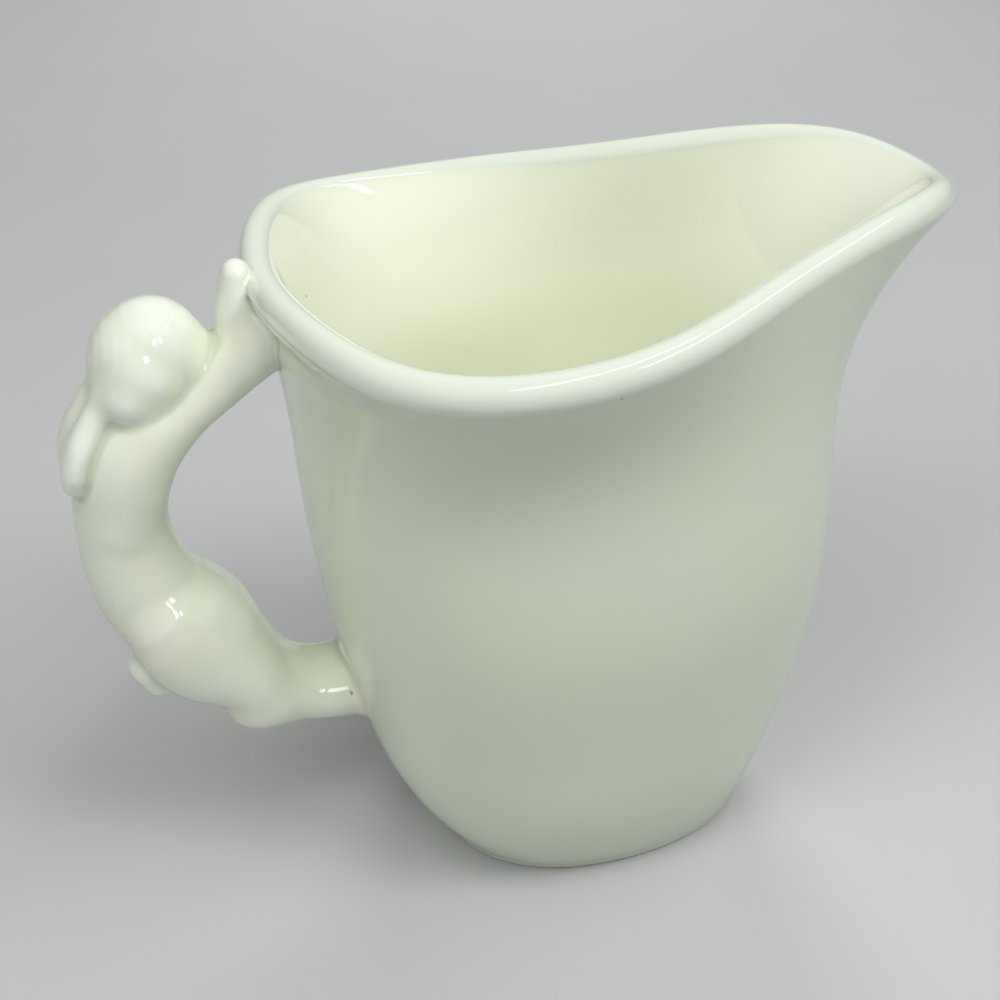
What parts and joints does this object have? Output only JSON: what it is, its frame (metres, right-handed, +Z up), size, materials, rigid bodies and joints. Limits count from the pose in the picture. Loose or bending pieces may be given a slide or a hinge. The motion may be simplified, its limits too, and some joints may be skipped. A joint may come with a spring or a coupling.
{
  "type": "creamer jug",
  "caption": "Oval ceramic creamer with a rolled rim rising to a broad pouring lip, and a handle formed as a rabbit stretching up to peer over the rim.",
  "frame": {"origin": "on the table plane, under the middle of the overall length, on the jug's plane of symmetry", "axes": "+X towards the pouring lip, -X towards the handle, +Z up out of the mouth"},
  "size_m": [0.1304, 0.082, 0.1054],
  "materials": {
    "jug_glaze": "gloss ivory glaze",
    "rabbit_glaze": "gloss ivory glaze",
    "slip_glaze": "gloss ivory glaze over slip"
  },
  "bodies": {
    "root": {"jug_body": "jug_glaze", "bunny_handle": "rabbit_glaze", "paw_slip_joint": "slip_glaze", "hind_foot_slip_joint": "slip_glaze"}
  },
  "joints": []
}
